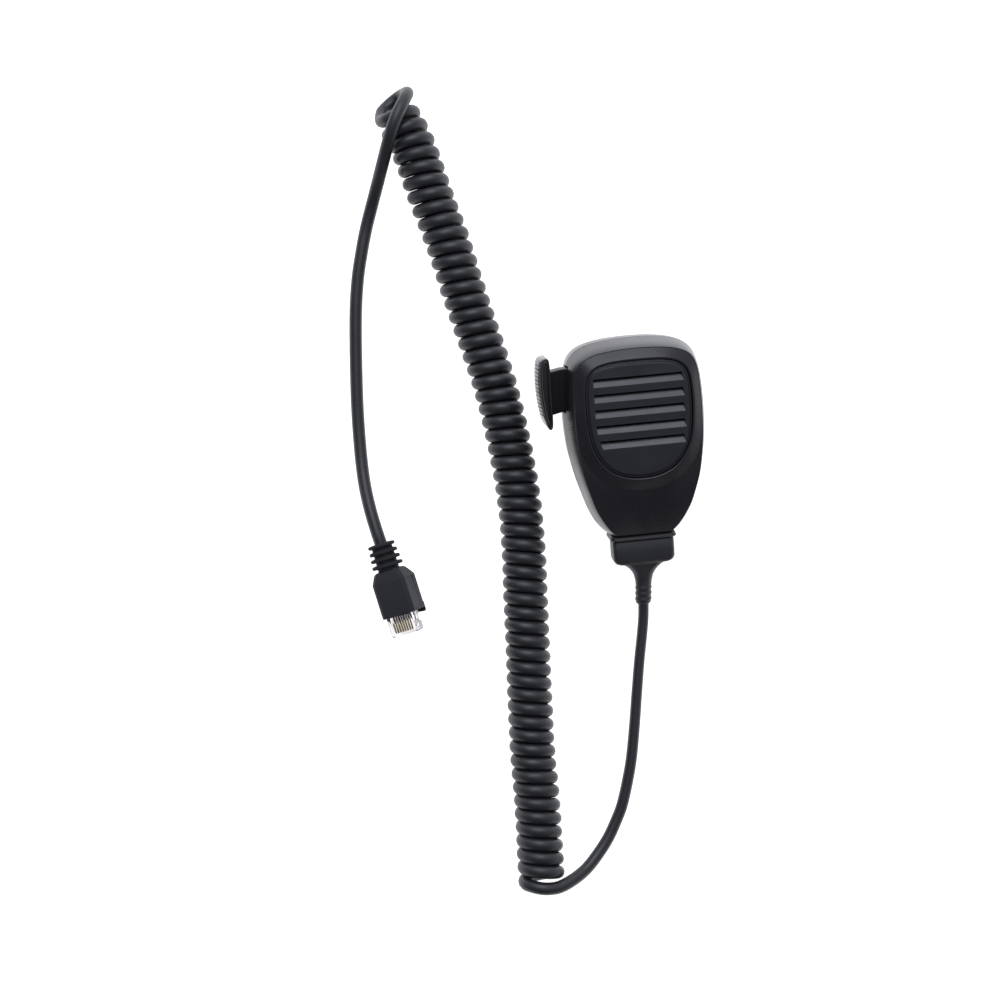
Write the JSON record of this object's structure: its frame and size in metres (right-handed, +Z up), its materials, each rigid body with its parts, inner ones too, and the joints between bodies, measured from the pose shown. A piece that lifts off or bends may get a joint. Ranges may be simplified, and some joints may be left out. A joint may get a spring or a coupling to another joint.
{
  "type": "hand microphone",
  "caption": "Hand-held transceiver microphone with a louvred grille, side push-to-talk paddle, hang-up button, coiled cord and modular plug.",
  "frame": {"origin": "centre of the microphone body, cord and plug left out, on the floor that it lies on", "axes": "+Z up from the floor, +Y from the cord end of the microphone towards its top, +X to the right seen from above"},
  "size_m": [0.1402, 0.3134, 0.0424],
  "materials": {
    "case": "fine satin texture",
    "panel": "satin",
    "rubber": "matt moulded",
    "jacket": "smooth flexible cord jacket, slight sheen",
    "switch_black": "satin",
    "ivory": "satin",
    "cloth": "woven dust cloth",
    "board": "solder mask",
    "steel": "zinc plated",
    "nickel": "nickel plated",
    "gold": "gold plated",
    "clear": "clear polycarbonate"
  },
  "bodies": {
    "microphone": {"board_screw_1": "steel", "board_screw_2": "steel", "case_screw_1": "steel", "case_screw_2": "steel", "case_screw_3": "steel", "case_screw_4": "steel", "circuit_board": "board", "clamp_screw_1": "steel", "clamp_screw_2": "steel", "cord_clamp": "steel", "cord_coil": "jacket", "cord_connector": "ivory", "cord_mic_tail": "jacket", "cord_plug_tail": "jacket", "dust_cloth": "cloth", "element_cup": "rubber", "front_case": "case", "grille_panel": "panel", "hang_up_button": "nickel", "hang_up_plate": "steel", "hang_up_screw": "steel", "inner_cord": "jacket", "mic_element": "steel", "plug_body": "clear", "plug_boot": "jacket", "plug_contact_1": "gold", "plug_contact_2": "gold", "plug_contact_3": "gold", "plug_contact_4": "gold", "plug_contact_5": "gold", "plug_contact_6": "gold", "plug_contact_7": "gold", "plug_contact_8": "gold", "ptt_spring": "steel", "ptt_switch": "switch_black", "rear_case": "case", "strain_relief": "rubber"},
    "push_to_talk": {"ptt_button": "case"},
    "switch_plunger": {"ptt_plunger": "ivory"},
    "latch": {"plug_latch": "clear"}
  },
  "joints": [
    {"name": "push_to_talk_press", "type": "slide", "parent": "microphone", "child": "push_to_talk", "axis": [0.9914, 0.0979, -0.0872], "range_m": [0, 0.002], "stiffness_N_per_m": 900, "springref_m": -0.001, "deforming": ["ptt_spring"]},
    {"name": "switch_plunger_press", "type": "slide", "parent": "microphone", "child": "switch_plunger", "axis": [0.9914, 0.0979, -0.0872], "range_m": [0, 0.002], "stiffness_N_per_m": 100, "springref_m": -0.0005},
    {"name": "plug_latch_squeeze", "type": "hinge", "parent": "microphone", "child": "latch", "pos_m": [-0.08195, -0.06346, 0.00773], "axis": [0.9173, 0.2875, 0.2756], "range_deg": [0, 8], "stiffness_Nm_per_rad": 0.05, "springref_deg": -2.86}
  ],
  "couplings": [
    {"joint": "switch_plunger_press", "follows": "push_to_talk_press", "ratio": 1}
  ]
}
